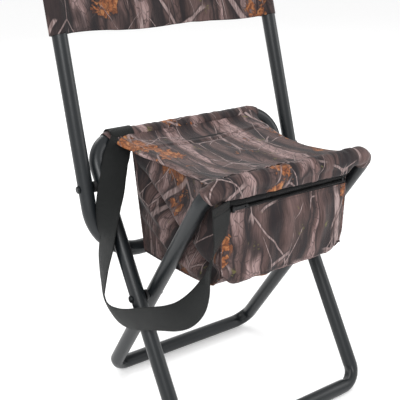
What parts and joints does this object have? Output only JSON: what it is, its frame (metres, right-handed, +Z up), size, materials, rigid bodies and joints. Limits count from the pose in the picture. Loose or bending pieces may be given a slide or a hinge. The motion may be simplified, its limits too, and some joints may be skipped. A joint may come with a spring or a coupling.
{
  "type": "folding camp stool",
  "caption": "Folding X-frame camp stool with a reclined backrest, a cloth sling seat, a zipped pouch under the seat and a webbing carrying strap.",
  "frame": {"origin": "bottom centre of the whole stool's box, on the ground, on the frame's plane of symmetry", "axes": "+Z up, the sitter faces -Y, +X to the right seen from the front"},
  "size_m": [0.4116, 0.3721, 0.6987],
  "materials": {
    "frame_tube": "satin powder coat",
    "bare_steel": "drawn, unpainted",
    "print_cloth": "woven polyester with a bark and leaf print",
    "webbing": "woven polypropylene webbing",
    "black_plastic": "moulded",
    "rivet": "blackened steel",
    "zip_tape": "woven tape",
    "zip_coil": "nylon coil",
    "zip_metal": "black enamel"
  },
  "bodies": {
    "rear_frame": {"rear_seat_tube": "frame_tube", "rear_joiner": "bare_steel", "rear_sleeve": "print_cloth", "seat_panel": "print_cloth", "pouch_rear_panel": "print_cloth", "pouch_bottom": "print_cloth", "pouch_gusset_left": "print_cloth", "pouch_gusset_right": "print_cloth", "shoulder_strap": "webbing", "strap_rear_loop": "webbing", "leg_rivet_left": "rivet", "back_rivet_left": "rivet", "leg_spacer_left": "black_plastic", "back_spacer_left": "black_plastic", "leg_rivet_right": "rivet", "back_rivet_right": "rivet", "leg_spacer_right": "black_plastic", "back_spacer_right": "black_plastic"},
    "front_frame": {"front_seat_tube": "frame_tube", "front_joiner": "bare_steel", "front_sleeve": "print_cloth", "strap_front_tab": "webbing"},
    "back_frame": {"back_tube": "frame_tube", "back_cover": "print_cloth", "back_cap_left": "black_plastic", "back_cap_right": "black_plastic"},
    "pouch_front": {"pouch_front_panel": "print_cloth", "front_flap": "print_cloth", "zipper_tape_lower": "zip_tape", "zipper_tape_upper": "zip_tape", "zipper_coil_lower": "zip_coil", "zipper_coil_upper": "zip_coil", "zipper_stops": "zip_metal"},
    "zip_slider": {"zipper_slider": "zip_metal"},
    "zip_pull": {"zipper_pull": "zip_metal"}
  },
  "joints": [
    {"name": "leg_fold", "type": "hinge", "parent": "rear_frame", "child": "front_frame", "pos_m": [0, -0.0322, 0.20562], "axis": [-1, 0, 0], "range_deg": [0, 59], "deforming": ["seat_panel", "pouch_gusset_left", "pouch_gusset_right", "pouch_bottom", "shoulder_strap"]},
    {"name": "back_fold", "type": "hinge", "parent": "rear_frame", "child": "back_frame", "pos_m": [0, 0.06018, 0.34663], "axis": [1, 0, 0], "range_deg": [0, 158]},
    {"name": "pouch_close", "type": "hinge", "parent": "rear_frame", "child": "pouch_front", "pos_m": [0, -0.0191, 0.0346], "axis": [-1, 0, 0], "range_deg": [0, 34]},
    {"name": "zip_slide", "type": "slide", "parent": "pouch_front", "child": "zip_slider", "axis": [1, 0, 0], "range_m": [0, 0.186]},
    {"name": "pull_swing", "type": "hinge", "parent": "zip_slider", "child": "zip_pull", "pos_m": [-0.104, -0.1666, 0.3725], "axis": [0, 0, -1], "range_deg": [0, 100]}
  ],
  "couplings": [
    {"joint": "back_fold", "follows": "leg_fold", "ratio": 2.6779},
    {"joint": "pouch_close", "follows": "leg_fold", "ratio": 0.5762}
  ]
}
